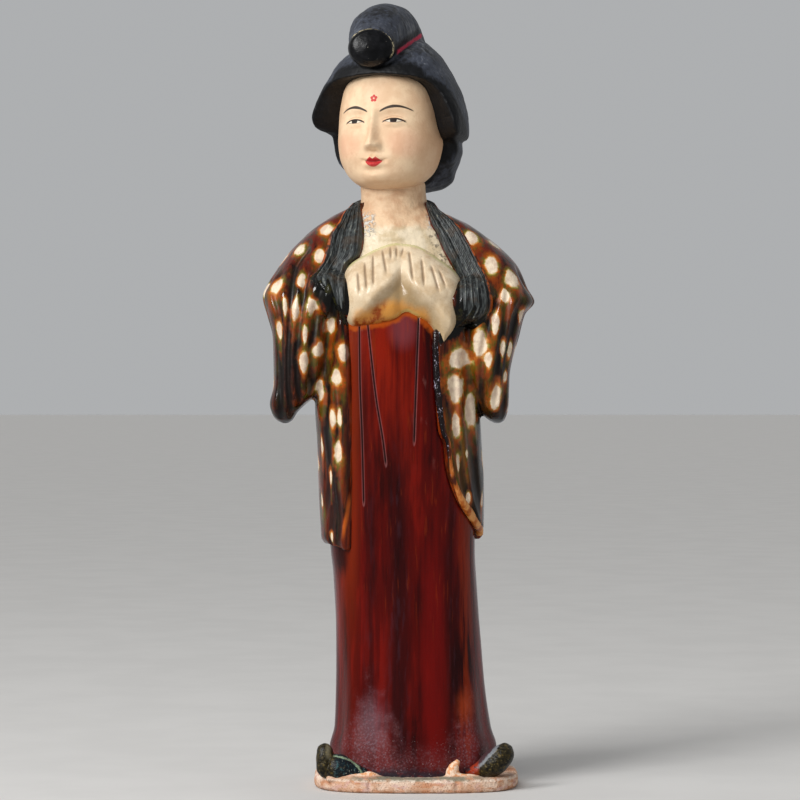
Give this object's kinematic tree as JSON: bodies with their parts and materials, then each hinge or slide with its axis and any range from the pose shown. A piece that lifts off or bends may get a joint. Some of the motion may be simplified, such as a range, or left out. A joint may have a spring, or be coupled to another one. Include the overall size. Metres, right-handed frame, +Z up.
{
  "type": "standing court lady figure",
  "caption": "Standing court lady of glazed fired clay in an open robe, with joined hands and a topknot, on a thin clay slab; stands by its own weight as an ornament.",
  "frame": {"origin": "centre of the flat underside of the clay slab", "axes": "+Z up from the slab to the topknot, -Y the way the robe's open front faces, +X to the viewer's right"},
  "size_m": [0.154, 0.0932, 0.4449],
  "materials": {
    "glazed_clay": "glossy",
    "painted_clay": "matte",
    "bare_clay": "matte"
  },
  "bodies": {
    "root": {"court_lady_figure": "glazed_clay"}
  },
  "joints": []
}
